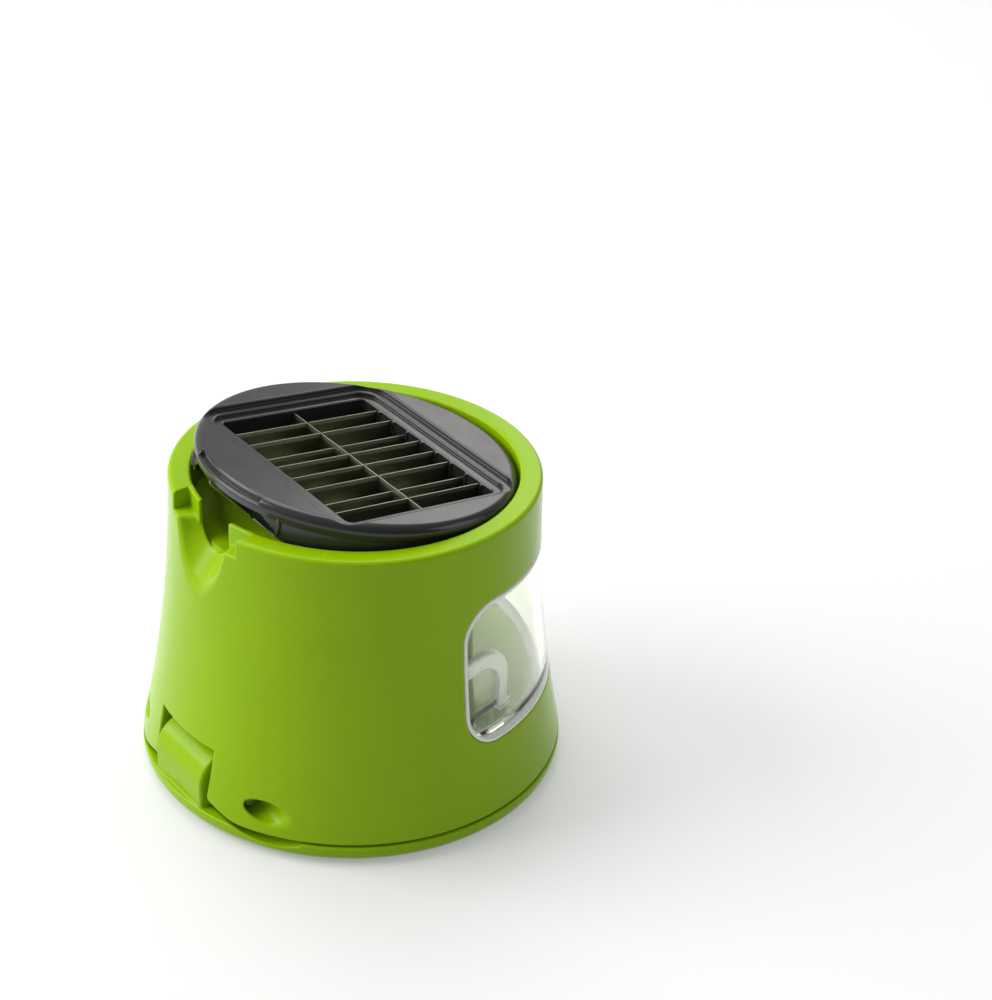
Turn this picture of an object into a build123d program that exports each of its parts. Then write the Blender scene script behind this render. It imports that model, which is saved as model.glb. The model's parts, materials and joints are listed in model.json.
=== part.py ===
from build123d import *
import math
import os

# Base unit of a small hand dicer: a flared case with a lift-out blade insert in its top,
# a clear catch container behind a wide window, and a base cover hinged at the back.
# Millimetres. +Z is up, +Y is the back (hinge and finger scoop), -Y the front (window).
# The origin is the centre of the ring that the dicer stands on.

# ---------------------------------------------------------------- driving dimensions
CASE_BOTTOM_Z = 4.3           # lower edge of the case, just above the base cover
CASE_TOP_Z = 59.3             # top of the rim
CASE_BOTTOM_R = 39.8          # outer radius of the case at its lower edge
CASE_TOP_R = 33.6             # outer radius of the rim
FLANK_ARC_R = 270.0           # radius of the hollow curve between the two
WALL = 2.0                    # case wall

RECESS_R = 29.5               # round recess that takes the blade insert
SEAT_Z = 52.0                 # seat at the bottom of the recess
SEAT_THICKNESS = 1.6
SEAT_OPENING_HALF_X = 22.3    # rectangular opening in the seat
SEAT_OPENING_Y = (-19.5, 19.0)
SEAT_OPENING_CORNER = 4.0

WINDOW_LOW_Z = 18.0
WINDOW_HIGH_Z = 46.4
WINDOW_BACK_Y = 1.5           # the window reaches just past the widest line of the case
WINDOW_CORNER = 7.2
FLOOR_BOTTOM_Z = 16.4         # floor under the window that carries the container

RIM_NOTCH_HALF = 9.7          # cut-down stretch of rim above the hinge
RIM_NOTCH_Z = 55.8
LIP_OUTER_R = 30.5            # thin lip left standing along the recess
LIP_GAP_HALF = 4.6            # gap in the lip for the fingertip
SCOOP_R = 7.5                 # round finger scoop that runs down and out through the rim
SCOOP_TOP = (27.3, 55.7)      # its innermost line, (Y, Z), at the notch
SCOOP_FOOT = (34.2, 45.5)     # and where that line leaves the case
BACKING_HALF = 11.0           # solid part of the case behind the scoop
BACKING_BOTTOM_Z = 43.0
BACKING_FRONT_Y = 24.5

PIN_Y = 33.0                  # hinge axis, parallel to X
PIN_Z = 8.5
PIN_R = 1.5
PIN_HALF_LENGTH = 15.5
PIN_BORE_R = 1.51             # bore in the case lugs, which hold the pin
ACCESS_BORE_R = 1.95          # wider bore that the pin is put in through
LUG_R = 5.5                   # case lugs round the pin
LUG_END_X = 24.0
HINGE_NOTCH_HALF = 8.5        # notch in the case between the lugs
HINGE_NOTCH_Z = 16.3

COVER_R = 39.9                # base cover
COVER_BOTTOM_Z = 0.6
COVER_TOP_Z = 3.9
COVER_FLOOR_Z = 3.0
COVER_POCKET_R = 35.2
COVER_CURVE = 2.2             # curve under its edge
KNUCKLE_HALF = 7.7
KNUCKLE_R = 5.9
KNUCKLE_BORE_R = 1.56         # turns on the pin
LUG_RELIEF_R = 5.9            # hollow that lets the cover swing round the lugs
SPIGOT_R = (35.6, 37.1)       # locating ring on the cover
SPIGOT_TOP_Z = 5.9
SPIGOT_BACK_Y = 8.0
TONGUE_R = (35.5, 36.4)       # snap tongue at the front, part of a ring
TONGUE_HALF = 6.0
TONGUE_TOP_Z = 9.2
BEAD_R = 36.85                # bead along the tongue
BEAD_Z = (6.9, 8.1)

FOOT_RING_R = (34.0, 37.2)    # soft ring under the cover
FOOT_RING_TOP_Z = 1.6

CONTAINER_GAP = 0.3           # gap between container and window
CONTAINER_WALL = 1.8
CONTAINER_FLOOR = 1.8
CUP_R = 31.2                  # round inner cup of the container
CUP_WALL = 1.6
CUP_TOP_Z = 33.3
CUP_END_Y = -13.6             # the cup wall ends here, behind the window
CUP_END_CORNER = 9.0

INSERT_R = 29.1               # blade insert, drawn seated and then tilted
FLANGE_TOP_Z = 58.4
FLANGE_BOTTOM_Z = 55.4
FLANGE_EDGE_RADIUS = 1.6
FLANGE_TAPER_Z = 56.6         # below this its edge narrows to the skirt
SKIRT_R = (27.6, 28.8)
SKIRT_BOTTOM_Z = 52.15
SKIRT_GAP_HALF = (9.5, 12.5)  # gap in the skirt over the scoop, at its top and at its bottom
SKIRT_GAP_BEND_Z = 53.2       # its ends slope down to here and then stand upright
GRIP_STEP_Z = 57.2            # step in the flange edge for the fingertip
GRIP_STEP_R = 28.1
GRIP_STEP_HALF = 9.2
UPPER_WELL = (45.8, 40.0, 5.0, 57.5)   # width, depth, corner radius, floor height
LOWER_WELL = (43.0, 36.4, 3.6, 56.8)
GRID_OPENING = (40.0, 32.0)
GRID_CORNER = 1.2
BLADE_BOX_WALL = 1.2
BLADE_BOX_CORNER = 2.5
BLADE_BOTTOM_Z = 48.5
RETAINER_BOTTOM_Z = 45.0

LONG_BLADES = 8
LOW_BLADES = (3, 7)           # these two stand lower, counted from the +X side
BLADE_THICKNESS = 0.5
BLADE_TOP_Z = 56.3
LOW_BLADE_DROP = 0.9
BEVEL_HEIGHT = 0.7
EDGE_THICKNESS = 0.18
BLADE_END_GRIP = 0.7          # how far each end runs into the frame
SLOT_PLAY = 0.04              # side play of every blade slot
CROSS_BLADE_THICKNESS = 0.4
CROSS_BLADE_DROP = 0.1

TILT_PIVOT_ANGLE = 15.0       # pivot point on the rim, degrees from the front towards -X
TILT_PIVOT_R = 29.0
TILT_AT_REST = 7.9            # degrees that the insert is tipped up

# ---------------------------------------------------------------- shared geometry


def flank_centre():
    """Centre (radius, height) of the arc that the case flank follows."""
    chord_r = CASE_TOP_R - CASE_BOTTOM_R
    chord_z = CASE_TOP_Z - CASE_BOTTOM_Z
    chord = math.hypot(chord_r, chord_z)
    reach = math.sqrt(FLANK_ARC_R ** 2 - (chord / 2) ** 2)
    middle_r = (CASE_TOP_R + CASE_BOTTOM_R) / 2
    middle_z = (CASE_TOP_Z + CASE_BOTTOM_Z) / 2
    return middle_r + reach * chord_z / chord, middle_z - reach * chord_r / chord


FLANK_CENTRE_R, FLANK_CENTRE_Z = flank_centre()


def flank_radius(z, inset=0.0):
    """Radius of the flank at height z, moved inwards by inset."""
    arc = FLANK_ARC_R + inset
    return FLANK_CENTRE_R - math.sqrt(arc ** 2 - (z - FLANK_CENTRE_Z) ** 2)


def flank_solid(low, high, inset=0.0):
    """Solid of revolution under the flank between two heights."""
    middle = (low + high) / 2
    side = ThreePointArc(
        (flank_radius(low, inset), low),
        (flank_radius(middle, inset), middle),
        (flank_radius(high, inset), high),
    )
    outline = side + Polyline((flank_radius(high, inset), high), (0, high), (0, low),
                              (flank_radius(low, inset), low))
    return revolve(Plane.XZ * make_face(outline), Axis.Z)


def block(x_range, y_range, z_range):
    """Box between given limits."""
    size = [high - low for low, high in (x_range, y_range, z_range)]
    centre = [(high + low) / 2 for low, high in (x_range, y_range, z_range)]
    return Pos(*centre) * Box(*size)


def disc(radius, low, high):
    """Upright cylinder between two heights."""
    return Pos(0, 0, low) * Cylinder(radius, high - low, align=(Align.CENTER, Align.CENTER, Align.MIN))


def rounded_block(width, depth, corner, low, high):
    """Upright box with rounded corners, centred on the Z axis."""
    return extrude(Pos(0, 0, low) * RectangleRounded(width, depth, corner), high - low)


def pin_rod(radius, x_low, x_high):
    """Cylinder on the hinge axis between two X values."""
    middle = (x_low + x_high) / 2
    return Pos(middle, PIN_Y, PIN_Z) * Rot(0, 90, 0) * Cylinder(radius, x_high - x_low)


def side_window(back_y, low, high, corner):
    """Block open to the front whose two back corners are rounded, seen along X."""
    tall = 100.0
    tool = block((-tall, tall), (-tall, back_y), (low, high))
    back_edges = tool.edges().filter_by(Axis.X).group_by(Axis.Y)[-1]
    return fillet(back_edges, corner)


# ---------------------------------------------------------------- case


def finger_scoop():
    """Leaning cylinder whose innermost line joins SCOOP_TOP and SCOOP_FOOT."""
    run_y = SCOOP_FOOT[0] - SCOOP_TOP[0]
    run_z = SCOOP_FOOT[1] - SCOOP_TOP[1]
    length = math.hypot(run_y, run_z)
    axis_y = SCOOP_TOP[0] - SCOOP_R * run_z / length
    axis_z = SCOOP_TOP[1] + SCOOP_R * run_y / length
    lean = math.degrees(math.atan2(run_y, -run_z))
    return Pos(0, axis_y, axis_z) * Rot(lean, 0, 0) * Cylinder(SCOOP_R, 60)


def seat_opening():
    """Prism cut through the seat for the blades and the food."""
    depth = SEAT_OPENING_Y[1] - SEAT_OPENING_Y[0]
    middle_y = sum(SEAT_OPENING_Y) / 2
    prism = rounded_block(2 * SEAT_OPENING_HALF_X, depth, SEAT_OPENING_CORNER, SEAT_Z - 5, SEAT_Z + 1)
    return Pos(0, middle_y, 0) * prism


def recess_lip():
    """What the notch and the scoop leave standing along the recess."""
    lip = disc(LIP_OUTER_R, RIM_NOTCH_Z, CASE_TOP_Z + 1)
    return lip - block((-LIP_GAP_HALF, LIP_GAP_HALF), (20, 60), (0, 100))


def lug_corner_cut():
    """What is outside the lug radius in the lower back quarter round the pin."""
    quarter = block((-60, 60), (PIN_Y, 60), (-5, PIN_Z))
    return quarter - pin_rod(LUG_R, -60, 60)


def make_body_shell():
    outer = flank_solid(CASE_BOTTOM_Z, CASE_TOP_Z)
    rim_edges = outer.edges().group_by(Axis.Z)[-1]
    outer = fillet(rim_edges, 0.8)
    foot_edges = outer.edges().group_by(Axis.Z)[0]
    outer = fillet(foot_edges, 0.6)
    seat_low_z = SEAT_Z - SEAT_THICKNESS
    shell = outer - flank_solid(0, seat_low_z, WALL)
    recess = disc(RECESS_R, SEAT_Z, CASE_TOP_Z + 1)
    shell -= recess
    recess_edge = shell.edges().filter_by(GeomType.CIRCLE).filter_by(
        lambda e: abs(e.radius - RECESS_R) < 0.01 and abs(e.center().Z - CASE_TOP_Z) < 0.01)
    shell = fillet(recess_edge, 0.6)
    shell -= seat_opening()

    bay_floor = flank_solid(FLOOR_BOTTOM_Z, WINDOW_LOW_Z, WALL / 2)
    lugs = pin_rod(LUG_R, -LUG_END_X, LUG_END_X) & flank_solid(CASE_BOTTOM_Z, 30, WALL / 2)
    backing = block((-BACKING_HALF, BACKING_HALF), (BACKING_FRONT_Y, 60), (BACKING_BOTTOM_Z, SEAT_Z - 0.1))
    backing = chamfer(backing.edges().filter_by(Axis.X).group_by(Axis.Y)[0].sort_by(Axis.Z)[0], 4.0)
    shell += bay_floor
    shell += lugs
    shell += backing & flank_solid(0, SEAT_Z, WALL / 2)

    shell -= side_window(WINDOW_BACK_Y, WINDOW_LOW_Z, WINDOW_HIGH_Z, WINDOW_CORNER)
    notch = block((-RIM_NOTCH_HALF, RIM_NOTCH_HALF), (20, 60), (RIM_NOTCH_Z, CASE_TOP_Z + 1))
    shell -= (notch + finger_scoop()) - recess_lip()
    shell -= block((-HINGE_NOTCH_HALF, HINGE_NOTCH_HALF), (20, 60), (-5, HINGE_NOTCH_Z))
    shell -= lug_corner_cut()
    shell -= pin_rod(PIN_BORE_R, -60, 60)
    shell -= pin_rod(ACCESS_BORE_R, PIN_HALF_LENGTH, 60)
    shell -= pin_rod(ACCESS_BORE_R, -60, -PIN_HALF_LENGTH)
    return shell


# ---------------------------------------------------------------- base cover, pin, foot ring


def make_base_cover():
    plate = disc(COVER_R, COVER_BOTTOM_Z, COVER_TOP_Z)
    plate = fillet(plate.edges().group_by(Axis.Z)[0], COVER_CURVE)
    plate = fillet(plate.edges().group_by(Axis.Z)[-1], 0.4)
    plate -= disc(COVER_POCKET_R, COVER_FLOOR_Z, 10)
    plate -= disc(FOOT_RING_R[1], -1, FOOT_RING_TOP_Z) - disc(FOOT_RING_R[0], -2, 10)

    spigot = disc(SPIGOT_R[1], COVER_FLOOR_Z - 1, SPIGOT_TOP_Z) - disc(SPIGOT_R[0], 0, 10)
    spigot -= block((-60, 60), (SPIGOT_BACK_Y, 60), (-5, 20))
    tongue = disc(TONGUE_R[1], COVER_FLOOR_Z - 1, TONGUE_TOP_Z) + disc(BEAD_R, *BEAD_Z)
    tongue -= disc(TONGUE_R[0], 0, 20)
    tongue &= block((-TONGUE_HALF, TONGUE_HALF), (-60, 0), (0, 20))

    knuckle = pin_rod(KNUCKLE_R, -KNUCKLE_HALF, KNUCKLE_HALF)
    knuckle += block((-KNUCKLE_HALF, KNUCKLE_HALF), (PIN_Y - KNUCKLE_R, PIN_Y + KNUCKLE_R),
                     (COVER_FLOOR_Z - 1, PIN_Z))
    foot_z = COVER_FLOOR_Z - 0.5
    end_edges = knuckle.edges().filter_by(lambda e: abs(abs(e.center().X) - KNUCKLE_HALF) < 0.01)
    knuckle = fillet(end_edges.filter_by(lambda e: e.center().Z > foot_z), 0.5)

    cover = plate + spigot + tongue
    for side in (-1, 1):
        near, far = sorted((side * (KNUCKLE_HALF + 0.05), side * (LUG_END_X + 2)))
        cover -= pin_rod(LUG_RELIEF_R, near, far)
    cover += knuckle
    cover -= pin_rod(KNUCKLE_BORE_R, -60, 60)
    return cover


def make_foot_ring():
    ring = disc(FOOT_RING_R[1], 0, FOOT_RING_TOP_Z) - disc(FOOT_RING_R[0], -1, 10)
    return fillet(ring.edges().group_by(Axis.Z)[0], 0.4)


def make_hinge_pin():
    pin = pin_rod(PIN_R, -PIN_HALF_LENGTH, PIN_HALF_LENGTH)
    return chamfer(pin.edges().filter_by(GeomType.CIRCLE), 0.3)


# ---------------------------------------------------------------- clear container


def make_clear_container():
    low = WINDOW_LOW_Z + CONTAINER_GAP
    high = WINDOW_HIGH_Z - CONTAINER_GAP
    floor_z = low + CONTAINER_FLOOR
    back_y = WINDOW_BACK_Y - CONTAINER_GAP
    window_fill = side_window(back_y, low, high, WINDOW_CORNER - CONTAINER_GAP)

    front = flank_solid(low - 1, high + 1) & window_fill
    hollow = flank_solid(floor_z, high + 5, CONTAINER_WALL)
    hollow -= block((-60, 60), (back_y - CUP_WALL, 60), (0, 60))
    front -= hollow
    front -= disc(CUP_R - CUP_WALL, floor_z, 60)

    cup = disc(CUP_R, low, CUP_TOP_Z)
    cup = fillet(cup.edges().group_by(Axis.Z)[0], 0.8)
    cup_hollow = disc(CUP_R - CUP_WALL, floor_z, 60)
    cup -= fillet(cup_hollow.edges().group_by(Axis.Z)[0], 1.0)
    cup_reach = block((-60, 60), (CUP_END_Y, 60), (0, CUP_TOP_Z))
    end_edge = cup_reach.edges().filter_by(Axis.X).group_by(Axis.Y)[0].sort_by(Axis.Z)[-1]
    cup &= fillet(end_edge, CUP_END_CORNER)
    return front + cup


# ---------------------------------------------------------------- blade insert, drawn seated


def blade_x(number):
    """X of a long blade, counted from the +X side."""
    pitch = GRID_OPENING[0] / (LONG_BLADES + 1)
    return GRID_OPENING[0] / 2 - pitch * number


def blade_top(number):
    return BLADE_TOP_Z - (LOW_BLADE_DROP if number in LOW_BLADES else 0.0)


def skirt_gap():
    """Prism between the ends of the skirt, over the finger scoop."""
    top, bottom = SKIRT_GAP_HALF
    outline = Polyline((-top, FLANGE_BOTTOM_Z), (top, FLANGE_BOTTOM_Z), (bottom, SKIRT_GAP_BEND_Z),
                       (bottom, SKIRT_BOTTOM_Z), (-bottom, SKIRT_BOTTOM_Z), (-bottom, SKIRT_GAP_BEND_Z),
                       close=True)
    return Pos(0, 60, 0) * extrude(Plane.XZ * make_face(outline), 50)


def make_insert_frame():
    flange = disc(INSERT_R, FLANGE_TAPER_Z, FLANGE_TOP_Z)
    flange = fillet(flange.edges().group_by(Axis.Z)[-1], FLANGE_EDGE_RADIUS)
    taper_height = FLANGE_TAPER_Z - FLANGE_BOTTOM_Z
    taper = Cone(SKIRT_R[1], INSERT_R, taper_height, align=(Align.CENTER, Align.CENTER, Align.MIN))
    flange += Pos(0, 0, FLANGE_BOTTOM_Z) * taper
    skirt = disc(SKIRT_R[1], SKIRT_BOTTOM_Z, FLANGE_BOTTOM_Z) - disc(SKIRT_R[0], 40, 60)
    skirt -= skirt_gap()
    box_width = GRID_OPENING[0] + 2 * BLADE_BOX_WALL
    box_depth = GRID_OPENING[1] + 2 * BLADE_BOX_WALL
    blade_box = rounded_block(box_width, box_depth, BLADE_BOX_CORNER, BLADE_BOTTOM_Z, FLANGE_BOTTOM_Z + 0.5)
    frame = flange + skirt + blade_box
    for width, depth, corner, floor_z in (UPPER_WELL, LOWER_WELL):
        frame -= rounded_block(width, depth, corner, floor_z, FLANGE_TOP_Z + 1)
    frame -= rounded_block(*GRID_OPENING, GRID_CORNER, 40, FLANGE_TOP_Z + 1)

    grip_step = block((-GRIP_STEP_HALF, GRIP_STEP_HALF), (10, 60), (GRIP_STEP_Z, 60))
    frame -= grip_step - disc(GRIP_STEP_R, 40, 70)

    end_y = GRID_OPENING[1] / 2 + BLADE_END_GRIP + SLOT_PLAY
    end_x = GRID_OPENING[0] / 2 + BLADE_END_GRIP + SLOT_PLAY
    slot_half = BLADE_THICKNESS / 2 + SLOT_PLAY
    for number in range(1, LONG_BLADES + 1):
        x = blade_x(number)
        frame -= block((x - slot_half, x + slot_half), (-end_y, end_y), (40, blade_top(number) + SLOT_PLAY))
    slot_half = CROSS_BLADE_THICKNESS / 2 + SLOT_PLAY
    cross_top = BLADE_TOP_Z - CROSS_BLADE_DROP + SLOT_PLAY
    frame -= block((-end_x, end_x), (-slot_half, slot_half), (40, cross_top))
    return frame


def make_blade_retainer():
    width = GRID_OPENING[0] + 2 * BLADE_BOX_WALL
    depth = GRID_OPENING[1] + 2 * BLADE_BOX_WALL
    ring = rounded_block(width, depth, BLADE_BOX_CORNER, RETAINER_BOTTOM_Z, BLADE_BOTTOM_Z)
    return ring - rounded_block(*GRID_OPENING, GRID_CORNER, 40, 60)


def blade_strip(thickness, low, high):
    """Section of a blade, bevelled to its upper edge."""
    shoulder = high - BEVEL_HEIGHT
    half = thickness / 2
    edge = EDGE_THICKNESS / 2
    return make_face(Polyline((-half, low), (half, low), (half, shoulder), (edge, high),
                              (-edge, high), (-half, shoulder), close=True))


def crossing_height():
    """Height where the slots of the crossing blades meet."""
    return (BLADE_BOTTOM_Z + BLADE_TOP_Z) / 2


def make_long_blade(number):
    half_length = GRID_OPENING[1] / 2 + BLADE_END_GRIP
    section = Plane.XZ * blade_strip(BLADE_THICKNESS, BLADE_BOTTOM_Z, blade_top(number))
    blade = extrude(section, half_length, both=True)
    slot_half = CROSS_BLADE_THICKNESS / 2 + SLOT_PLAY
    blade -= block((-1, 1), (-slot_half, slot_half), (crossing_height() - SLOT_PLAY, 60))
    return Pos(blade_x(number), 0, 0) * blade


def make_cross_blade():
    half_length = GRID_OPENING[0] / 2 + BLADE_END_GRIP
    top = BLADE_TOP_Z - CROSS_BLADE_DROP
    section = Plane.YZ * blade_strip(CROSS_BLADE_THICKNESS, BLADE_BOTTOM_Z, top)
    blade = extrude(section, half_length, both=True)
    slot_half = BLADE_THICKNESS / 2 + SLOT_PLAY
    for number in range(1, LONG_BLADES + 1):
        x = blade_x(number)
        blade -= block((x - slot_half, x + slot_half), (-1, 1), (40, crossing_height() + SLOT_PLAY))
    return blade


def tip_up(solid):
    """Tilt a seated piece of the insert to its rest attitude, about a point on the front rim."""
    angle = math.radians(TILT_PIVOT_ANGLE)
    pivot = (-TILT_PIVOT_R * math.sin(angle), -TILT_PIVOT_R * math.cos(angle), FLANGE_TOP_Z)
    direction = (math.cos(angle), -math.sin(angle), 0)
    return solid.rotate(Axis(pivot, direction), TILT_AT_REST)


# ---------------------------------------------------------------- write the pieces


def write(name, solid):
    export_step(solid, os.path.join("parts", name + ".step"))


os.makedirs("parts", exist_ok=True)
write("body_shell", make_body_shell())
write("base_cover", make_base_cover())
write("foot_ring", make_foot_ring())
write("hinge_pin", make_hinge_pin())
write("clear_container", make_clear_container())
write("insert_frame", tip_up(make_insert_frame()))
write("blade_retainer", tip_up(make_blade_retainer()))
for blade_number in range(1, LONG_BLADES + 1):
    write("long_blade_%d" % blade_number, tip_up(make_long_blade(blade_number)))
write("cross_blade", tip_up(make_cross_blade()))
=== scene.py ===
import json
import math

import bpy
import numpy as np
from mathutils import Matrix, Vector


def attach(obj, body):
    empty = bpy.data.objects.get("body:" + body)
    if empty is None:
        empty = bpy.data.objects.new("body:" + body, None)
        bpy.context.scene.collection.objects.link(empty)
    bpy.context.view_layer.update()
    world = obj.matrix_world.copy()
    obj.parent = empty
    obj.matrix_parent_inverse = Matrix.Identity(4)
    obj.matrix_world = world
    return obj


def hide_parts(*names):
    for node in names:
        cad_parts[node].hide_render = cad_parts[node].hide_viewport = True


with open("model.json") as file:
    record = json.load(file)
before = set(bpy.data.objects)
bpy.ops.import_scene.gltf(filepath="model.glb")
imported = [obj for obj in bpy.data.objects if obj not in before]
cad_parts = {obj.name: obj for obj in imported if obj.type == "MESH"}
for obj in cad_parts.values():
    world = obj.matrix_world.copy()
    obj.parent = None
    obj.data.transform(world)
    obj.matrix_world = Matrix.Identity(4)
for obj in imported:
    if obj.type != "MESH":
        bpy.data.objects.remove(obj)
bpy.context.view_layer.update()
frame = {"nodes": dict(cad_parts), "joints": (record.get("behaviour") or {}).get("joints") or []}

MM = 0.001                                  # shapes are worked out in millimetres
JOINTS = {joint["name"]: joint for joint in frame["joints"]}

# ---------------------------------------------------------------- driving dimensions, in millimetres

CASE_BOTTOM_Z = 4.3
CASE_TOP_Z = 59.3
CASE_BOTTOM_R = 39.8
CASE_TOP_R = 33.6
FLANK_ARC_R = 270.0
WALL = 2.0

RECESS_R = 29.5
SEAT_Z = 52.0
SEAT_THICKNESS = 1.6
SEAT_OPENING_HALF_X = 22.3
SEAT_OPENING_Y = (-19.5, 19.0)
SEAT_OPENING_CORNER = 4.0

WINDOW_Z = (17.95, 46.4)
WINDOW_BACK_Y = 1.55
WINDOW_CORNER = 7.2
WINDOW_REACH = 60.0                         # half the length of the block that cuts it, open to the front
FLOOR_BOTTOM_Z = 16.4                       # floor of the bay behind the window

RIM_NOTCH_HALF = 9.7
RIM_NOTCH_Z = 55.8
LIP_OUTER_R = 30.5                          # thin lip left standing along the recess
LIP_GAP_HALF = 4.6
SCOOP_R = 7.5
SCOOP_TOP = (27.3, 55.7)                    # innermost line of the scoop, (Y, Z)
SCOOP_FOOT = (34.2, 45.5)
BACKING = (10.5, 24.8, 43.2)                # half width, front Y, bottom Z
BACK_Y = 20.0                               # cuts in the back of the case stay behind this

PIN_Y = JOINTS["cover_hinge"]["pos_m"][1] / MM
PIN_Z = JOINTS["cover_hinge"]["pos_m"][2] / MM
PIN_R = 1.5
PIN_HALF = 15.5
BORE_R = 1.52
BORE_LOW_X = 5.0                            # inside the hinge notch
ACCESS_BORE_R = 1.95                        # wider mouth that the pin is put in through
ACCESS_BORE_OVERLAP = 1.3                   # how far the pin's end reaches into it
LUG_R = 5.5
LUG_END_X = 24.0
HINGE_NOTCH_HALF = 8.45
HINGE_NOTCH_Z = 16.3

COVER_R = 39.9
COVER_Z = (0.6, 3.9)
COVER_FLOOR_Z = 3.0
COVER_POCKET_R = 35.2
COVER_CURVE = 2.2
KNUCKLE_HALF = 7.6
KNUCKLE_R = 5.9
LUG_RELIEF_R = 5.9
SPIGOT_R = (35.6, 37.1)
SPIGOT_TOP_Z = 5.9
SPIGOT_BACK_Y = 8.0
TONGUE_R = (35.5, 36.4)                     # snap tongue at the front
TONGUE_HALF = 6.0
TONGUE_TOP_Z = 9.2
BEAD_R = 36.85
BEAD_Z = (6.9, 8.1)
FOOT_RING_R = (34.0, 37.2)
FOOT_RING_TOP_Z = 1.6

CONTAINER_GAP = 0.12
CONTAINER_WALL = 1.8
CONTAINER_FLOOR = 1.8
CUP_R = 31.2
CUP_WALL = 1.6
CUP_TOP_Z = 33.3
CUP_END_Y = -13.6
CUP_END_CORNER = 9.0
CUP_REACH = 50.0                            # half size of the rectangle that bounds the cup, seen along X
CUP_BAND_WIDTH = 3.2                        # thicker band along the end of the cup wall
CUP_BAND_R = 31.6
BORDER_WIDTH = 0.5                          # painted highlight border along the container's outline, whitened and made less clear
BORDER_LOW_R = 33.5                         # it stays outside this radius
SILL_LOW_R = 36.9                           # painted highlight on the skin of the floor's rim
BAND_HIGHLIGHT_R = (29.5, 32.1)                  # painted highlight on the skin of the cup's band

INSERT_R = 29.1
FLANGE_Z = (55.4, 58.4)
SKIRT_R = (27.6, 28.8)
SKIRT_BOTTOM_Z = 52.15
FLANGE_TAPER_Z = 56.6
SKIRT_GAP_HALF = (9.5, 12.5)                # gap over the scoop, at the top and at the bottom
SKIRT_GAP_BEND_Z = 53.2                     # its ends slope down to here and then stand upright
HOOK_RIB_ANGLE = 27.5                       # small upright ribs near the ends of the skirt
GRIP_STEP_Z = 57.2                          # step in the flange edge for the fingertip
GRIP_STEP_R = 28.1
GRIP_STEP_HALF = 9.2
INSERT_BACK_Y = 10.0                        # cuts in the back of the insert stay behind this
UPPER_WELL = (45.8, 40.0, 5.0, 57.5)        # width, depth, corner radius, floor height
LOWER_WELL = (43.0, 36.4, 3.6, 56.8)
GRID_OPENING = (40.0, 32.0, 1.2)
BLADE_BOX = (42.4, 34.4, 2.5)
BLADE_BOTTOM_Z = 48.5
LONG_BLADES = 8
POST_R = 0.4
POST_SHIFT = 0.8                            # each post stands beside its blade
POST_Z = (54.0, 56.5)

# ---------------------------------------------------------------- fields
# A field says how far points p = (x, y, z) lie outside a shape, in millimetres.


def meet(a, b, rounding=0.0):
    """Intersection of two fields, with its edge rounded."""
    if rounding == 0.0:
        return np.maximum(a, b)
    corner = np.hypot(np.maximum(a + rounding, 0), np.maximum(b + rounding, 0))
    return np.minimum(np.maximum(a, b), -rounding) + corner


def join(a, b, fillet=0.0):
    """Union of two fields, with the corner between them filled."""
    return -meet(-a, -b, fillet)


def cut(a, b, rounding=0.0):
    """What is in a and not in b, with the edge of the cut rounded."""
    return meet(a, -b, rounding)


def between(value, low, high):
    return np.maximum(low - value, value - high)


def rounded_rectangle(a, b, half_a, half_b, corner):
    reach_a = np.abs(a) - half_a + corner
    reach_b = np.abs(b) - half_b + corner
    outside = np.hypot(np.maximum(reach_a, 0), np.maximum(reach_b, 0))
    return outside + np.minimum(np.maximum(reach_a, reach_b), 0) - corner


def flank_centre():
    """Centre (radius, height) of the arc of the case's hollow flank."""
    chord_r = CASE_TOP_R - CASE_BOTTOM_R
    chord_z = CASE_TOP_Z - CASE_BOTTOM_Z
    chord = math.hypot(chord_r, chord_z)
    reach = math.sqrt(FLANK_ARC_R ** 2 - (chord / 2) ** 2)
    middle_r = (CASE_TOP_R + CASE_BOTTOM_R) / 2
    middle_z = (CASE_TOP_Z + CASE_BOTTOM_Z) / 2
    return middle_r + reach * chord_z / chord, middle_z - reach * chord_r / chord


FLANK_CENTRE = flank_centre()


def flank(radius, z):
    return FLANK_ARC_R - np.hypot(radius - FLANK_CENTRE[0], z - FLANK_CENTRE[1])


def scoop(x, y, z):
    """Leaning round groove for the fingertip."""
    run_y = SCOOP_FOOT[0] - SCOOP_TOP[0]
    run_z = SCOOP_FOOT[1] - SCOOP_TOP[1]
    run = math.hypot(run_y, run_z)
    depth = (-(y - SCOOP_TOP[0]) * run_z + (z - SCOOP_TOP[1]) * run_y) / run
    return np.hypot(x, depth - SCOOP_R) - SCOOP_R


def window(y, z, gap=0.0):
    """The wide front window, seen along X. The gap makes it smaller all round."""
    middle = (WINDOW_Z[0] + WINDOW_Z[1]) / 2
    half = (WINDOW_Z[1] - WINDOW_Z[0]) / 2 - gap
    centre_y = WINDOW_BACK_Y - gap - WINDOW_REACH
    return rounded_rectangle(y - centre_y, z - middle, WINDOW_REACH, half, WINDOW_CORNER - gap)


def seat_opening(x, y):
    middle = sum(SEAT_OPENING_Y) / 2
    half_y = (SEAT_OPENING_Y[1] - SEAT_OPENING_Y[0]) / 2
    return rounded_rectangle(x, y - middle, SEAT_OPENING_HALF_X, half_y, SEAT_OPENING_CORNER)


def recess_lip(x, y, z, radius):
    """Thin lip at full rim height that the notch and the scoop leave along the recess."""
    wall = meet(RECESS_R - radius, radius - LIP_OUTER_R, 0.3)
    height = np.maximum(z - CASE_TOP_Z, RIM_NOTCH_Z - 1 - z)
    width = between(np.abs(x), LIP_GAP_HALF, RIM_NOTCH_HALF + 0.3)
    return np.maximum(meet(meet(wall, height, 0.3), width, 0.4), BACK_Y - y)


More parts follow.
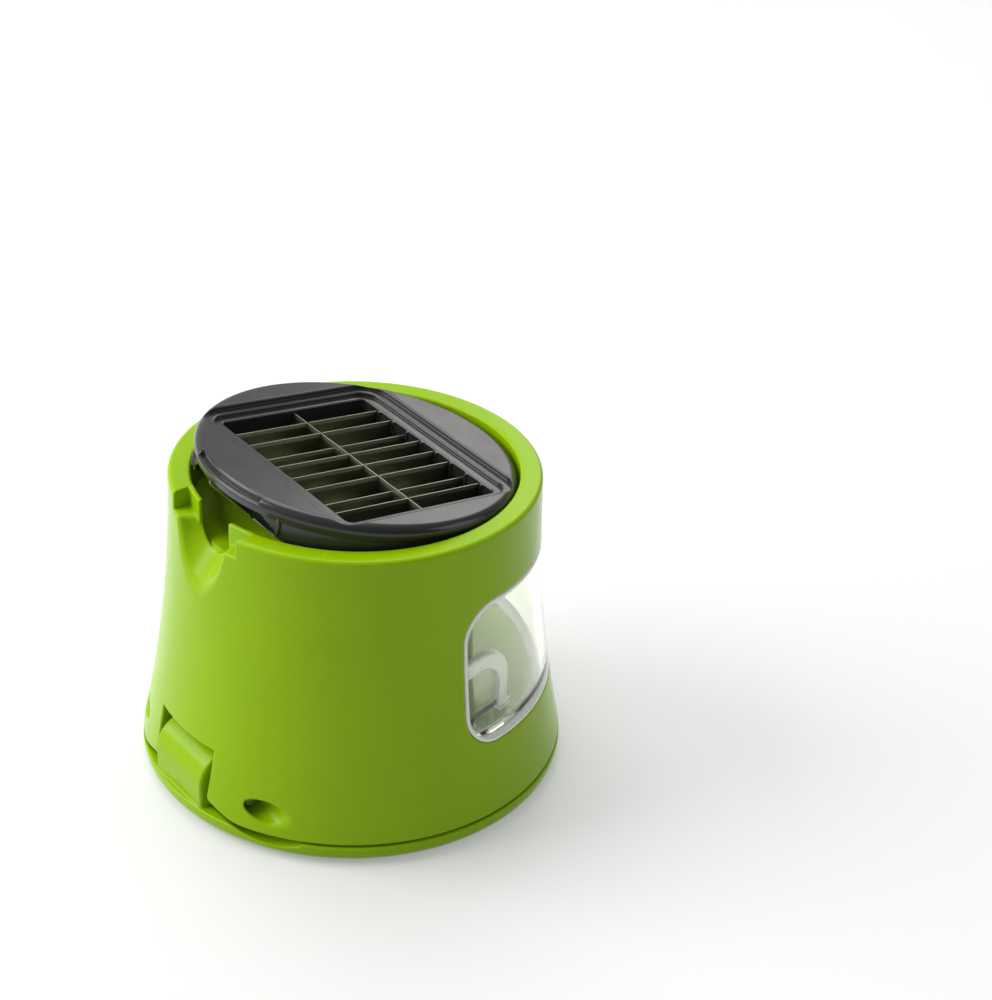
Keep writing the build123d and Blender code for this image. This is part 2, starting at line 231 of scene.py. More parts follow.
def case_field(p):
    x, y, z = p
    radius = np.hypot(x, y)
    side = flank(radius, z)
    outer = meet(side, z - CASE_TOP_Z, 0.8)
    outer = meet(outer, CASE_BOTTOM_Z - z, 0.6)
    hollow = meet(side + WALL, z - (SEAT_Z - SEAT_THICKNESS), 1.5)
    shell = cut(outer, hollow)
    bay_floor = meet(side + WALL / 2, between(z, FLOOR_BOTTOM_Z, WINDOW_Z[0]))
    pin_distance = np.hypot(y - PIN_Y, z - PIN_Z)
    lugs = meet(meet(pin_distance - LUG_R, np.abs(x) - LUG_END_X), side + WALL / 2)
    lugs = meet(lugs, CASE_BOTTOM_Z - z, 0.4)
    half, front, bottom = BACKING
    backing = meet(meet(np.abs(x) - half, front - y), meet(bottom - z, z - SEAT_Z + 0.1), 1.0)
    backing = meet(backing, side + WALL / 2)
    shell = join(shell, backing, 0.8)
    shell = join(shell, bay_floor, 0.5)
    shell = join(shell, lugs)
    shell = cut(shell, meet(radius - RECESS_R, SEAT_Z - z), 0.6)
    shell = cut(shell, window(y, z), 0.35)
    notch = meet(np.abs(x) - RIM_NOTCH_HALF, np.maximum(RIM_NOTCH_Z - z, BACK_Y - y))
    shell = cut(shell, notch, 0.5)
    groove = np.maximum(scoop(x, y, z), BACK_Y - y)
    shell = cut(shell, np.maximum(groove, RECESS_R + 0.4 - radius), 1.0)
    shell = cut(shell, groove, 0.25)
    shell = join(shell, recess_lip(x, y, z, radius), 0.3)
    shell = cut(shell, np.maximum(seat_opening(x, y), WINDOW_Z[1] - z), 0.3)
    hinge_notch = meet(np.abs(x) - HINGE_NOTCH_HALF, np.maximum(z - HINGE_NOTCH_Z, BACK_Y - y))
    shell = cut(shell, hinge_notch, 0.45)
    swing = meet(meet(LUG_R - pin_distance, z - PIN_Z), PIN_Y - y)
    shell = cut(shell, swing, 0.4)
    shell = cut(shell, np.maximum(pin_distance - BORE_R, BORE_LOW_X - np.abs(x)))
    mouth = np.maximum(pin_distance - ACCESS_BORE_R, PIN_HALF - ACCESS_BORE_OVERLAP - np.abs(x))
    return cut(shell, mouth, 0.7)


def cover_field(p):
    x, y, z = p
    radius = np.hypot(x, y)
    plate = meet(radius - COVER_R, COVER_Z[0] - z, COVER_CURVE)
    plate = meet(plate, z - COVER_Z[1], 0.4)
    plate = cut(plate, np.maximum(radius - COVER_POCKET_R, COVER_FLOOR_Z - z), 0.3)
    spigot = meet(between(radius, *SPIGOT_R), np.maximum(z - SPIGOT_TOP_Z, COVER_FLOOR_Z - 1 - z), 0.3)
    spigot = meet(spigot, y - SPIGOT_BACK_Y, 0.4)
    cover = join(plate, spigot, 0.2)
    tongue = meet(between(radius, *TONGUE_R), z - TONGUE_TOP_Z, 0.3)
    bead = meet(between(radius, TONGUE_R[0], BEAD_R), between(z, *BEAD_Z), 0.3)
    tongue = meet(join(tongue, bead, 0.2), np.abs(x) - TONGUE_HALF, 0.3)
    cover = join(cover, np.maximum(tongue, np.maximum(y, COVER_FLOOR_Z - 1 - z)), 0.2)
    pin_distance = np.hypot(y - PIN_Y, z - PIN_Z)
    relief = np.maximum(pin_distance - LUG_RELIEF_R, between(np.abs(x), KNUCKLE_HALF + 0.05, LUG_END_X + 2))
    cover = cut(cover, relief, 0.3)
    block = np.maximum(PIN_Y - KNUCKLE_R - y, z - PIN_Z)
    knuckle = np.minimum(pin_distance - KNUCKLE_R, np.maximum(block, y - PIN_Y - KNUCKLE_R))
    knuckle = meet(knuckle, COVER_FLOOR_Z - 1 - z)
    knuckle = meet(knuckle, np.abs(x) - KNUCKLE_HALF, 0.6)
    cover = join(cover, knuckle, 0.4)
    cover = cut(cover, pin_distance - PIN_R - 0.06)
    groove = np.maximum(between(radius, *FOOT_RING_R), z - FOOT_RING_TOP_Z)
    return cut(cover, groove)


def container_field(p):
    x, y, z = p
    radius = np.hypot(x, y)
    side = flank(radius, z)
    low = WINDOW_Z[0] + CONTAINER_GAP
    floor_z = low + CONTAINER_FLOOR
    back_y = WINDOW_BACK_Y - CONTAINER_GAP
    front = meet(side, window(y, z, CONTAINER_GAP), 0.3)
    hollow = meet(meet(side + CONTAINER_WALL, floor_z - z, 1.0), y - back_y + CUP_WALL, 1.0)
    cup_hollow = meet(radius - CUP_R + CUP_WALL, floor_z - z, 1.0)
    front = cut(front, join(hollow, cup_hollow), 0.4)
    along, up = y - CUP_END_Y - CUP_REACH, z - CUP_TOP_Z + CUP_REACH
    reach = rounded_rectangle(along, up, CUP_REACH, CUP_REACH, CUP_END_CORNER)
    cup = meet(meet(radius - CUP_R, low - z, 0.8), reach, 0.5)
    band = meet(meet(radius - CUP_BAND_R, low - z, 0.8), meet(reach, -CUP_BAND_WIDTH - reach), 0.5)
    cup = join(cup, band)
    cup = cut(cup, cup_hollow, 0.5)
    return join(front, cup)


def skirt_gap(x, y, z):
    """Gap in the skirt over the scoop."""
    top, bottom = SKIRT_GAP_HALF
    spread = (bottom - top) / (FLANGE_Z[0] - SKIRT_GAP_BEND_Z)
    half = np.minimum(top + spread * (FLANGE_Z[0] - z), bottom)
    return np.maximum((np.abs(x) - half) / math.hypot(1, spread), INSERT_BACK_Y - y)


def hook_rib(x, y, z, radius):
    """Small upright rib near each end of the skirt, below the flange."""
    angle = math.radians(HOOK_RIB_ANGLE)
    along = np.hypot(np.abs(x) - SKIRT_R[1] * math.sin(angle), y - SKIRT_R[1] * math.cos(angle))
    return meet(along - 0.45, np.maximum(FLANGE_Z[0] - 2.4 - z, z - FLANGE_Z[0] - 0.3), 0.2)


def blade_posts(x, y, z):
    """Short posts that hold the front ends of the long blades."""
    pitch = GRID_OPENING[0] / (LONG_BLADES + 1)
    nearest = x - pitch * (np.round(x / pitch - 0.5) + 0.5) + POST_SHIFT
    reach = np.hypot(nearest, y + GRID_OPENING[1] / 2)
    height = between(z, POST_Z[0], POST_Z[1])
    return np.maximum(meet(reach - POST_R, height, 0.2), np.abs(x) - GRID_OPENING[0] / 2 + 1.5)


def insert_field(p):
    """The frame of the blade insert, seated."""
    x, y, z = p
    radius = np.hypot(x, y)
    narrowing = (INSERT_R - SKIRT_R[1]) * np.clip((FLANGE_TAPER_Z - z) / (FLANGE_TAPER_Z - FLANGE_Z[0]), 0, 1)
    flange = meet(radius - INSERT_R + narrowing, z - FLANGE_Z[1], 1.6)
    flange = meet(flange, FLANGE_Z[0] - z, 0.15)
    skirt = meet(between(radius, *SKIRT_R), np.maximum(SKIRT_BOTTOM_Z - z, z - FLANGE_Z[0] - 0.5), 0.3)
    skirt = cut(skirt, skirt_gap(x, y, z), 0.5)
    frame_field = join(flange, skirt, 0.1)
    frame_field = join(frame_field, hook_rib(x, y, z, radius), 0.2)
    box = rounded_rectangle(x, y, BLADE_BOX[0] / 2, BLADE_BOX[1] / 2, BLADE_BOX[2])
    box = meet(box, np.maximum(BLADE_BOTTOM_Z - z, z - FLANGE_Z[0] - 0.5), 0.3)
    frame_field = join(frame_field, box, 0.4)
    for width, depth, corner, floor_z in (UPPER_WELL, LOWER_WELL):
        well = np.maximum(rounded_rectangle(x, y, width / 2, depth / 2, corner), floor_z - z)
        frame_field = cut(frame_field, well, 0.3)
    opening = rounded_rectangle(x, y, GRID_OPENING[0] / 2, GRID_OPENING[1] / 2, GRID_OPENING[2])
    frame_field = cut(frame_field, opening, 0.3)
    frame_field = join(frame_field, blade_posts(x, y, z), 0.1)
    step = np.maximum(GRIP_STEP_Z - z, GRIP_STEP_R - radius)
    step = np.maximum(step, np.maximum(np.abs(x) - GRIP_STEP_HALF, INSERT_BACK_Y - y))
    return cut(frame_field, step, 0.45)


# ---------------------------------------------------------------- meshes from fields


def graded(*stops):
    """Grid positions from (start, step) pairs, with a last start that ends them."""
    places = []
    for (start, step), (end, _) in zip(stops, stops[1:]):
        count = max(1, round((end - start) / step))
        places.extend(start + (end - start) * k / count for k in range(count))
    places.append(stops[-1][0])
    return np.array(places)


def straight_grid(u, v, w):
    return np.stack(np.broadcast_arrays(u, v, w))


def round_grid(u, v, w):
    """Grid point from angle about Z in degrees from the back, radius and height."""
    angle = np.radians(u)
    return np.stack(np.broadcast_arrays(-v * np.sin(angle), v * np.cos(angle), w))


def crossings(distance, axes, to_point, axis):
    """Grid edges along one axis that pass through the surface: index, entering or not, and point."""
    first = [slice(None)] * 3
    first[axis] = slice(0, -1)
    second = [slice(None)] * 3
    second[axis] = slice(1, None)
    low, high = distance[tuple(first)], distance[tuple(second)]
    index = np.argwhere((low < 0) != (high < 0))
    i, j, k = index.T
    a, b = low[i, j, k], high[i, j, k]
    places = [axes[n][index[:, n]] for n in range(3)]
    step = axes[axis][index[:, axis] + 1] - places[axis]
    places[axis] = places[axis] + step * a / (a - b)
    return index, a < 0, to_point(*places)


def field_net(field, axes, to_point, wraps):
    """Points and four-sided faces of a field's surface on a grid whose first axis may wrap round."""
    u, v, w = axes
    plane_v, plane_w = np.meshgrid(v, w, indexing="ij")
    distance = np.stack([field(to_point(value, plane_v, plane_w)) for value in u])
    if wraps:
        distance = np.concatenate([distance, distance[:1]])
        u = np.append(u, u[0] + 360.0)
    axes = (u, v, w)
    cells = np.array(distance.shape) - 1
    totals = np.zeros((cells.prod(), 3))
    counts = np.zeros(cells.prod())
    quads = []
    for axis in range(3):
        index, entering, points = crossings(distance, axes, to_point, axis)
        if wraps and axis != 0:
            keep = index[:, 0] < cells[0]
            index, entering, points = index[keep], entering[keep], points[:, keep]
        b, c = (axis + 1) % 3, (axis + 2) % 3
        corners = []
        good = np.ones(len(index), bool)
        for shift_b, shift_c in ((1, 1), (0, 1), (0, 0), (1, 0)):
            cell = index.copy()
            cell[:, b] -= shift_b
            cell[:, c] -= shift_c
            if wraps:
                cell[:, 0] %= cells[0]
            inside = ((cell >= 0) & (cell < cells)).all(axis=1)
            good &= inside
            number = np.ravel_multi_index(np.clip(cell, 0, cells - 1).T, cells)
            corners.append(number)
            counts += np.bincount(number[inside], minlength=len(counts))
            for n in range(3):
                totals[:, n] += np.bincount(number[inside], points[n][inside], len(counts))
        corners = np.stack(corners, axis=1)
        corners[~entering] = corners[~entering][:, ::-1]
        quads.append(corners[good])
    used = counts > 0
    renumber = np.cumsum(used) - 1
    points = (totals[used] / counts[used, None]).T
    faces = renumber[np.concatenate(quads)].tolist()
    if not wraps:
        return points, faces
    points, fans = close_on_axis(distance, cells, renumber, points)
    return points, faces + fans


def close_on_axis(distance, cells, renumber, points):
    """Fans of triangles that close a round net's innermost rings on the Z axis."""
    inner = distance[:-1, 0]
    fans = []
    for level in np.flatnonzero(((inner[:, :-1] < 0) != (inner[:, 1:] < 0)).all(axis=0)):
        steps = np.arange(cells[0])
        ring = renumber[np.ravel_multi_index((steps, 0 * steps, 0 * steps + level), cells)]
        centre = len(points[0])
        middle = np.array([[0.0], [0.0], [points[2, ring].mean()]])
        points = np.concatenate([points, middle], axis=1)
        upward = inner[0, level] < 0
        for first, second in zip(ring.tolist(), np.roll(ring, 1).tolist()):
            fans.append((centre, first, second) if upward else (centre, second, first))
    return points, fans


def slope_of(field, points, step=0.02):
    slope = np.empty_like(points)
    for n in range(3):
        shift = np.zeros((3, 1))
        shift[n] = step
        slope[n] = (field(points + shift) - field(points - shift)) / (2 * step)
    return slope


def settle(field, points):
    """Moves net points onto the surface itself."""
    for _ in range(4):
        slope = slope_of(field, points)
        size = np.maximum((slope ** 2).sum(axis=0), 0.2)
        points = points - slope * np.clip(field(points) / size, -0.25, 0.25)
    return points


def field_piece(name, field, axes, to_point=round_grid, wraps=True, matrix=None):
    """Mesh object of a field's surface, smooth shaded by the field's own slope."""
    points, faces = field_net(field, axes, to_point, wraps)
    points = settle(field, points)
    normals = slope_of(field, points, 0.03)
    normals /= np.maximum(np.linalg.norm(normals, axis=0), 1e-6)
    a, b, c = (points[:, [face[n] for face in faces]] for n in range(3))
    facing = np.einsum("ij,ij->j", np.cross((b - a).T, (c - a).T).T, normals[:, [face[0] for face in faces]])
    if facing.sum() < 0:
        faces = [face[::-1] for face in faces]
    return mesh_piece(name, points.T * MM, faces, normals.T, matrix)


def mesh_piece(name, vertices, faces, normals=None, matrix=None):
    mesh = bpy.data.meshes.new(name)
    mesh.from_pydata([tuple(v) for v in vertices], [], faces)
    mesh.polygons.foreach_set("use_smooth", [True] * len(mesh.polygons))
    if normals is not None:
        mesh.normals_split_custom_set_from_vertices([tuple(n) for n in normals])
    if matrix is not None:
        mesh.transform(matrix)
    piece = bpy.data.objects.new(name, mesh)
    bpy.context.scene.collection.objects.link(piece)
    return piece


def lathe(name, outline, steps=256):
    """Ring turned about Z from a closed outline of (radius, height) points in millimetres."""
    vertices = []
    for k in range(steps):
        angle = 2 * math.pi * k / steps
        vertices += [(r * math.cos(angle) * MM, r * math.sin(angle) * MM, z * MM) for r, z in outline]
    count = len(outline)
    faces = []
    for k in range(steps):
        here, there = k * count, (k + 1) % steps * count
        for n in range(count):
            m = (n + 1) % count
            faces.append((here + n, there + n, there + m, here + m))
    return mesh_piece(name, vertices, faces)


def rounded_outline(low_r, high_r, low_z, high_z, corner, steps=5):
    """Closed outline of a rectangle with round corners."""
    outline = []
    corners = ((high_r, low_z, -90), (high_r, high_z, 0), (low_r, high_z, 90), (low_r, low_z, 180))
    for r, z, start in corners:
        centre_r = r - corner if r == high_r else r + corner
        centre_z = z - corner if z == high_z else z + corner
        for k in range(steps + 1):
            angle = math.radians(start + 90 * k / steps)
            outline.append((centre_r + corner * math.cos(angle), centre_z + corner * math.sin(angle)))
    return outline


# ---------------------------------------------------------------- materials


def new_material(name):
    material = bpy.data.materials.new(name)
    material.use_nodes = True
    nodes, links = material.node_tree.nodes, material.node_tree.links
    shader = nodes["Principled BSDF"]
    return material, nodes, links, shader


def object_point(nodes):
    return nodes.new("ShaderNodeTexCoord").outputs["Object"]


def noise(nodes, links, point, scale, detail=3.0, roughness=0.5):
    node = nodes.new("ShaderNodeTexNoise")
    node.inputs["Scale"].default_value = scale
    node.inputs["Detail"].default_value = detail
    node.inputs["Roughness"].default_value = roughness
    links.new(point, node.inputs["Vector"])
    return node.outputs["Fac"]


def remap(nodes, links, value, low, high, to_low, to_high):
    node = nodes.new("ShaderNodeMapRange")
    node.inputs["From Min"].default_value = low
    node.inputs["From Max"].default_value = high
    node.inputs["To Min"].default_value = to_low
    node.inputs["To Max"].default_value = to_high
    links.new(value, node.inputs["Value"])
    return node.outputs["Result"]


def blend_colours(nodes, links, factor, first, second):
    """Mix of two colours, each a triple or another node's output."""
    node = nodes.new("ShaderNodeMix")
    node.data_type = "RGBA"
    colour_sockets = node.inputs[6:8]
    for socket, value in zip(colour_sockets, (first, second)):
        if isinstance(value, tuple):
            socket.default_value = (*value, 1)
        else:
            links.new(value, socket)
    links.new(factor, node.inputs[0])
    return node.outputs[2]


def add_bump(nodes, links, shader, height, strength, distance):
    node = nodes.new("ShaderNodeBump")
    node.inputs["Strength"].default_value = strength
    node.inputs["Distance"].default_value = distance
    links.new(height, node.inputs["Height"])
    links.new(node.outputs["Normal"], shader.inputs["Normal"])


def plastic(name, colour, deep_colour, roughness, grain, sheen_level):
    """Moulded plastic: faint flow marks in the colour, a fine skin and a painted highlight that lightens
    sharp convex edges.
    """
    material, nodes, links, shader = new_material(name)
    point = object_point(nodes)
    flow = noise(nodes, links, point, 45.0, 4.0)
    edge = nodes.new("ShaderNodeNewGeometry").outputs["Pointiness"]
    # painted highlight: convex edges, found by pointiness, are lightened as if they catch the light
    painted_edge_highlight = remap(nodes, links, edge, 0.5, 0.6, 0.0, 0.25)
    tone = remap(nodes, links, flow, 0.3, 0.7, 0.0, 1.0)
    body = blend_colours(nodes, links, tone, deep_colour, colour)
    edge_highlight_colour = tuple(min(1.0, c * 1.2 + 0.004) for c in colour)
    links.new(blend_colours(nodes, links, painted_edge_highlight, body, edge_highlight_colour), shader.inputs["Base Color"])
    patch = noise(nodes, links, point, 220.0, 5.0, 0.6)
    finish = remap(nodes, links, patch, 0.3, 0.7, roughness * 0.85, roughness * 1.2)
    links.new(finish, shader.inputs["Roughness"])
    skin = noise(nodes, links, point, 2600.0, 2.0)
    add_bump(nodes, links, shader, skin, 0.15, grain)
    shader.inputs["IOR"].default_value = 1.49
    shader.inputs["Specular IOR Level"].default_value = sheen_level
    return material


def maths(nodes, links, operation, first, second=0.0):
    """Math node; each input is a number or another node's output."""
    node = nodes.new("ShaderNodeMath")
    node.operation = operation
    for socket, value in zip(node.inputs, (first, second)):
        if isinstance(value, float):
            socket.default_value = value
        else:
            links.new(value, socket)
    return node.outputs[0]


def rectangle_in_shader(nodes, links, y, z, middle_y, middle_z, half_y, half_z, corner):
    """The rounded_rectangle field as nodes, in metres."""
    reaches = []
    for value, middle, half in ((y, middle_y, half_y), (z, middle_z, half_z)):
        offset = maths(nodes, links, "ABSOLUTE", maths(nodes, links, "SUBTRACT", value, middle * MM))
        reaches.append(maths(nodes, links, "SUBTRACT", offset, (half - corner) * MM))
    squares = []
    for reach in reaches:
        squares.append(maths(nodes, links, "POWER", maths(nodes, links, "MAXIMUM", reach, 0.0), 2.0))
    outside = maths(nodes, links, "SQRT", maths(nodes, links, "ADD", *squares))
    inside = maths(nodes, links, "MINIMUM", maths(nodes, links, "MAXIMUM", *reaches), 0.0)
    total = maths(nodes, links, "ADD", outside, inside)
    return maths(nodes, links, "SUBTRACT", total, corner * MM)


def ramp(nodes, links, value, start, end, top=1.0):
    """0 at start and top at end, both in millimetres."""
    return remap(nodes, links, value, start * MM, end * MM, 0.0, top)


def product(nodes, links, first, *others):
    for other in others:
        first = maths(nodes, links, "MULTIPLY", first, other)
    return first


def distance_from_axis(nodes, links, x, y):
    flat = nodes.new("ShaderNodeCombineXYZ")
    links.new(x, flat.inputs[0])
    links.new(y, flat.inputs[1])
    length = nodes.new("ShaderNodeVectorMath")
    length.operation = "LENGTH"
    links.new(flat.outputs[0], length.inputs[0])
    return length.outputs["Value"]


def painted_highlight_parts(nodes, links, point):
    """Painted highlight on the clear plastic, where it is whitened and made less clear: along its outline,
    round its floor and on the cup's end band.
    """
    split = nodes.new("ShaderNodeSeparateXYZ")
    links.new(point, split.inputs[0])
    x, y, z = split.outputs
    radius = distance_from_axis(nodes, links, x, y)

    half_z = (WINDOW_Z[1] - WINDOW_Z[0]) / 2 - CONTAINER_GAP
    corner = WINDOW_CORNER - CONTAINER_GAP
    middle_y = WINDOW_BACK_Y - CONTAINER_GAP - WINDOW_REACH
    outline = rectangle_in_shader(nodes, links, y, z, middle_y, sum(WINDOW_Z) / 2,
                                  WINDOW_REACH, half_z, corner)
    edge = ramp(nodes, links, outline, -BORDER_WIDTH - 0.25, -BORDER_WIDTH)
    border = product(nodes, links, edge, ramp(nodes, links, radius, BORDER_LOW_R - 0.3, BORDER_LOW_R))

    floor_top = WINDOW_Z[0] + CONTAINER_GAP + CONTAINER_FLOOR
    below = ramp(nodes, links, z, floor_top + 0.1, floor_top - 0.1, 0.45)
    sill = product(nodes, links, below, ramp(nodes, links, radius, SILL_LOW_R - 0.3, SILL_LOW_R))

    reach = rectangle_in_shader(nodes, links, y, z, CUP_END_Y + CUP_REACH, CUP_TOP_Z - CUP_REACH,
                                CUP_REACH, CUP_REACH, CUP_END_CORNER)
    low_r, high_r = BAND_HIGHLIGHT_R
    band = product(nodes, links,
                   ramp(nodes, links, reach, -CUP_BAND_WIDTH - 0.3, -CUP_BAND_WIDTH),
                   ramp(nodes, links, reach, 0.2, 0.1),
                   ramp(nodes, links, radius, high_r + 0.3, high_r),
                   ramp(nodes, links, radius, low_r - 0.3, low_r))
    return maths(nodes, links, "MAXIMUM", border, maths(nodes, links, "MAXIMUM", sill, band))


def clear_plastic(name):
    """Clear moulded plastic that lets light through to what it holds."""
    material, nodes, links, shader = new_material(name)
    point = object_point(nodes)
    haze = noise(nodes, links, point, 160.0, 4.0)
    # painted highlight: the masked parts are turned white, rough and nearly opaque
    painted_highlight = painted_highlight_parts(nodes, links, point)
    colour = blend_colours(nodes, links, painted_highlight, (0.87, 0.9, 0.82), (0.98, 0.98, 0.98))
    links.new(colour, shader.inputs["Base Color"])
    links.new(remap(nodes, links, painted_highlight, 0.0, 1.0, 1.0, 0.05), shader.inputs["Transmission Weight"])
    shader.inputs["IOR"].default_value = 1.4
    smooth = remap(nodes, links, haze, 0.3, 0.7, 0.015, 0.05)
    rough = remap(nodes, links, painted_highlight, 0.0, 1.0, 0.0, 0.25)
    links.new(maths(nodes, links, "ADD", smooth, rough), shader.inputs["Roughness"])
    add_bump(nodes, links, shader, noise(nodes, links, point, 90.0, 2.0), 0.08, 0.0004)
    through = nodes.new("ShaderNodeBsdfTransparent")
    through.inputs["Color"].default_value = (0.93, 0.95, 0.92, 1)
    choice = nodes.new("ShaderNodeMixShader")
    rays = nodes.new("ShaderNodeLightPath")
    links.new(rays.outputs["Is Shadow Ray"], choice.inputs[0])
    links.new(shader.outputs[0], choice.inputs[1])
    links.new(through.outputs[0], choice.inputs[2])
    links.new(choice.outputs[0], nodes["Material Output"].inputs["Surface"])
    return material


def steel(name, colour, roughness, grain_scale):
    """Ground steel with fine lines drawn along one direction."""
    material, nodes, links, shader = new_material(name)
    point = object_point(nodes)
    stretch = nodes.new("ShaderNodeMapping")
    stretch.inputs["Scale"].default_value = grain_scale
    links.new(point, stretch.inputs["Vector"])
    lines = noise(nodes, links, stretch.outputs["Vector"], 1.0, 3.0)
    stain = noise(nodes, links, point, 120.0, 3.0)
    tone = remap(nodes, links, stain, 0.3, 0.7, 0.0, 1.0)
    darker = tuple(c * 0.82 for c in colour)
    links.new(blend_colours(nodes, links, tone, darker, colour), shader.inputs["Base Color"])
    finish = remap(nodes, links, lines, 0.2, 0.8, roughness * 0.93, roughness * 1.07)
    links.new(finish, shader.inputs["Roughness"])
    shader.inputs["Metallic"].default_value = 1.0
    add_bump(nodes, links, shader, lines, 0.02, 0.000004)
    return material


def rubber(name):
    """Matt dark rubber with a little dust."""
    material, nodes, links, shader = new_material(name)
    point = object_point(nodes)
    dust = noise(nodes, links, point, 300.0, 5.0)
    tone = remap(nodes, links, dust, 0.35, 0.75, 0.0, 1.0)
    colour = blend_colours(nodes, links, tone, (0.02, 0.02, 0.018), (0.06, 0.06, 0.055))
    links.new(colour, shader.inputs["Base Color"])
    links.new(remap(nodes, links, dust, 0.3, 0.7, 0.65, 0.85), shader.inputs["Roughness"])
    add_bump(nodes, links, shader, noise(nodes, links, point, 1800.0), 0.4, 0.00004)
    return material


# ---------------------------------------------------------------- pieces


def finish_piece(piece, material, body, slot, *nodes):
    piece.data.materials.clear()
    piece.data.materials.append(material)
    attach(piece, body)
    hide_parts(*nodes)


def tilt_matrix():
    """From the seated insert to its rest attitude."""
    joint = JOINTS["insert_tilt"]
    pivot = Vector(joint["pos_m"])
    turn = Matrix.Rotation(math.radians(-joint["range_deg"][0]), 4, Vector(joint["axis"]))
    return Matrix.Translation(pivot) @ turn @ Matrix.Translation(-pivot)


def make_case(material):
    around = graded((-180, 0.75), (-100, 0.4), (-80, 0.6), (-50, 0.4), (50, 0.6), (80, 0.4), (100, 0.75),
                    (180, None))[:-1]
    out = graded((0.3, 1.6), (17.5, 0.6), (27.5, 0.3), (34.5, 0.35), (40.4, None))
    up = graded((3.8, 0.2), (5.6, 0.4), (15.6, 0.25), (18.8, 0.45), (23.6, 0.9), (40.4, 0.45), (45.6, 0.25),
                (47.0, 0.5), (49.8, 0.3), (52.6, 0.4), (54.8, 0.25), (59.8, None))
    piece = field_piece("green_case", case_field, (around, out, up))
    finish_piece(piece, material, "case", "lime_case", "body_shell")


def make_cover(material):
    around = graded((-180, 0.8), (-45, 0.4), (45, 0.8), (180, None))[:-1]
    out = graded((0.3, 1.2), (20, 0.5), (33.6, 0.25), (40.3, None))
    up = graded((0.2, 0.25), (6.3, 0.4), (15.2, None))
    piece = field_piece("green_base_cover", cover_field, (around, out, up))
    finish_piece(piece, material, "cover", "lime_cover", "base_cover")


def make_container(material):
    around = graded((-180, 0.6), (180, None))[:-1]
    out = graded((0.3, 1.2), (20, 0.6), (27.5, 0.3), (38.6, None))
    up = graded((17.9, 0.2), (21.4, 0.4), (24.6, 0.6), (32.8, 0.35), (35, 0.6), (41, 0.3), (46.6, None))
    piece = field_piece("clear_catch_cup", container_field, (around, out, up))
    finish_piece(piece, material, "container", "clear_plastic", "clear_container")


def make_insert(material):
    across = graded((-29.5, 0.26), (29.5, None))
    back = graded((-29.5, 0.26), (25.4, 0.13), (29.5, None))
    up = graded((48.2, 0.3), (54.8, 0.2), (58.8, None))
    grid = (across, back, up)
    piece = field_piece("grey_insert_frame", insert_field, grid, straight_grid, False, tilt_matrix())
    finish_piece(piece, material, "insert", "dark_grey_plastic", "insert_frame")


def make_foot_ring(material):
    outline = rounded_outline(FOOT_RING_R[0] + 0.02, FOOT_RING_R[1] - 0.02, 0.0, FOOT_RING_TOP_Z - 0.02, 0.4)
    piece = lathe("black_foot_ring", outline, 360)
    finish_piece(piece, material, "cover", "foot_rubber", "foot_ring")


def dress_nodes(blade_steel, pin_steel, grey):
    """The CAD's own blades, retainer and pin keep their shapes."""
    for name, node in frame["nodes"].items():
        if name.startswith("long_blade") or name == "cross_blade":
            chosen = blade_steel
        elif name == "blade_retainer":
            chosen = grey
        elif name == "hinge_pin":
            chosen = pin_steel
        else:
            continue
        node.data.materials.clear()
        node.data.materials.append(chosen)


# ---------------------------------------------------------------- camera, light and floor

VIEW_AZIMUTH = 234.0                        # degrees round the dicer, from the front
VIEW_ELEVATION = 36.72
VIEW_DISTANCE = 392.18                      # from the origin
VIEW_TARGET_Z = 30.0
VIEW_YAW = -4.007                           # how far the view is turned off that target
VIEW_PITCH = 2.945
VIEW_ROLL = -0.713
FOCAL_PIXELS = 2000.0
IMAGE_WIDTH = 992.0
SENSOR_WIDTH = 36.0

TENT_AZIMUTH = 110.0                        # where the tent is brightest
TENT_DIM = 0.12
TENT_BRIGHT = 0.75
LAMP_DISTANCE = 0.9                         # metres
FLOOR_REACH = 6.0                           # metres


def make_camera():
    azimuth, elevation = math.radians(VIEW_AZIMUTH), math.radians(VIEW_ELEVATION)
    level = Vector((math.sin(azimuth), -math.cos(azimuth), 0)) * math.cos(elevation)
    place = (level + Vector((0, 0, math.sin(elevation)))) * VIEW_DISTANCE
    forward = (Vector((0, 0, VIEW_TARGET_Z)) - place).normalized()
    right = forward.cross(Vector((0, 0, 1))).normalized()
    up = right.cross(forward)
    yaw = Matrix.Rotation(math.radians(VIEW_YAW), 3, up)
    forward, right = yaw @ forward, yaw @ right
    pitch = Matrix.Rotation(math.radians(VIEW_PITCH), 3, right)
    forward, up = pitch @ forward, pitch @ up
    roll = Matrix.Rotation(math.radians(VIEW_ROLL), 3, forward)
    right, up = roll @ right, roll @ up
    data = bpy.data.cameras.new("photo_camera")
    data.sensor_fit = "HORIZONTAL"
    data.sensor_width = SENSOR_WIDTH
    data.lens = SENSOR_WIDTH * FOCAL_PIXELS / IMAGE_WIDTH
    data.clip_start = 0.01
    data.clip_end = 20.0
    camera = bpy.data.objects.new("photo_camera", data)
    turn = Matrix((right, up, -forward)).transposed().to_4x4()
    camera.matrix_world = Matrix.Translation(place * MM) @ turn
    bpy.context.scene.collection.objects.link(camera)
    bpy.context.scene.camera = camera


